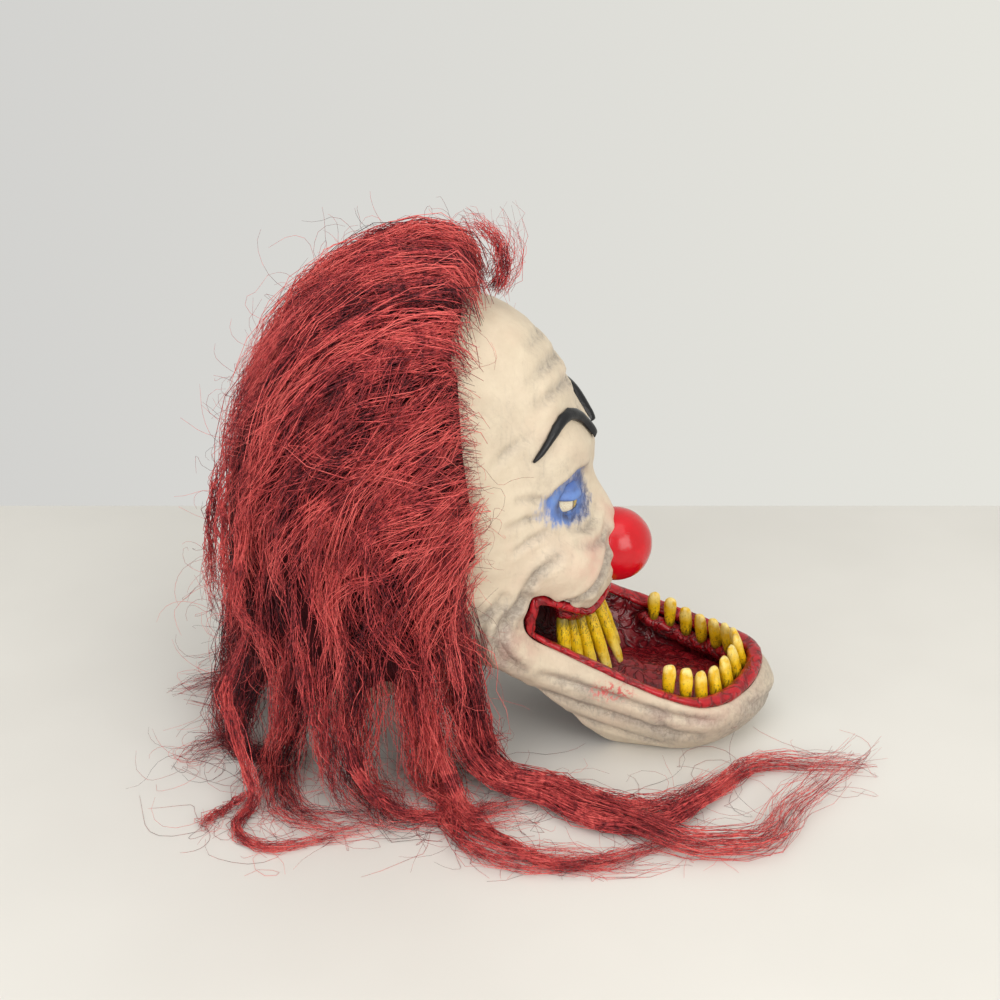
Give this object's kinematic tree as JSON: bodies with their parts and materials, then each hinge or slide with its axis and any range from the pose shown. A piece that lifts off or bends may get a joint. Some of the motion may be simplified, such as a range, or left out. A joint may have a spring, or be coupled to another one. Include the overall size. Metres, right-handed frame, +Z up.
{
  "type": "clown mask with long hair",
  "caption": "Overhead moulded latex clown mask with a gaping toothed mouth, jutting lower jaw, ball nose, raised brows and long hair that falls to the table.",
  "frame": {"origin": "on the table, under the middle of the whole mask's outline with its hair", "axes": "+Z up; the mask faces -Y; its right side is at -X"},
  "size_m": [0.372, 0.5558, 0.4038],
  "materials": {
    "latex_skin": "satin painted latex",
    "lip_red": "glossy painted latex",
    "mouth_maroon": "glossy painted latex",
    "gum_red": "glossy painted latex",
    "tooth_yellow": "painted latex with a dark wash",
    "nose_red": "glossy lacquer",
    "brow_black": "glossy lacquer",
    "eye_paint": "glossy paint",
    "hair_burgundy": "crimped synthetic fibre"
  },
  "bodies": {
    "root": {"mask_skin": "latex_skin", "lips": "lip_red", "mouth_lining": "mouth_maroon", "tongue": "mouth_maroon", "lower_gum": "gum_red", "upper_gum": "gum_red", "nose": "nose_red", "eye_right": "eye_paint", "eye_left": "eye_paint", "eyebrow_right": "brow_black", "eyebrow_left": "brow_black", "hair": "hair_burgundy", "upper_tooth_1": "tooth_yellow", "upper_tooth_2": "tooth_yellow", "upper_tooth_3": "tooth_yellow", "upper_tooth_4": "tooth_yellow", "upper_tooth_5": "tooth_yellow", "upper_tooth_6": "tooth_yellow", "upper_tooth_7": "tooth_yellow", "upper_tooth_8": "tooth_yellow", "upper_tooth_9": "tooth_yellow", "upper_tooth_10": "tooth_yellow", "lower_tooth_1": "tooth_yellow", "lower_tooth_2": "tooth_yellow", "lower_tooth_3": "tooth_yellow", "lower_tooth_4": "tooth_yellow", "lower_tooth_5": "tooth_yellow", "lower_tooth_6": "tooth_yellow", "lower_tooth_7": "tooth_yellow", "lower_tooth_8": "tooth_yellow", "lower_tooth_9": "tooth_yellow", "lower_tooth_10": "tooth_yellow", "lower_tooth_11": "tooth_yellow", "lower_tooth_12": "tooth_yellow", "lower_tooth_13": "tooth_yellow", "lower_tooth_14": "tooth_yellow"}
  },
  "joints": []
}
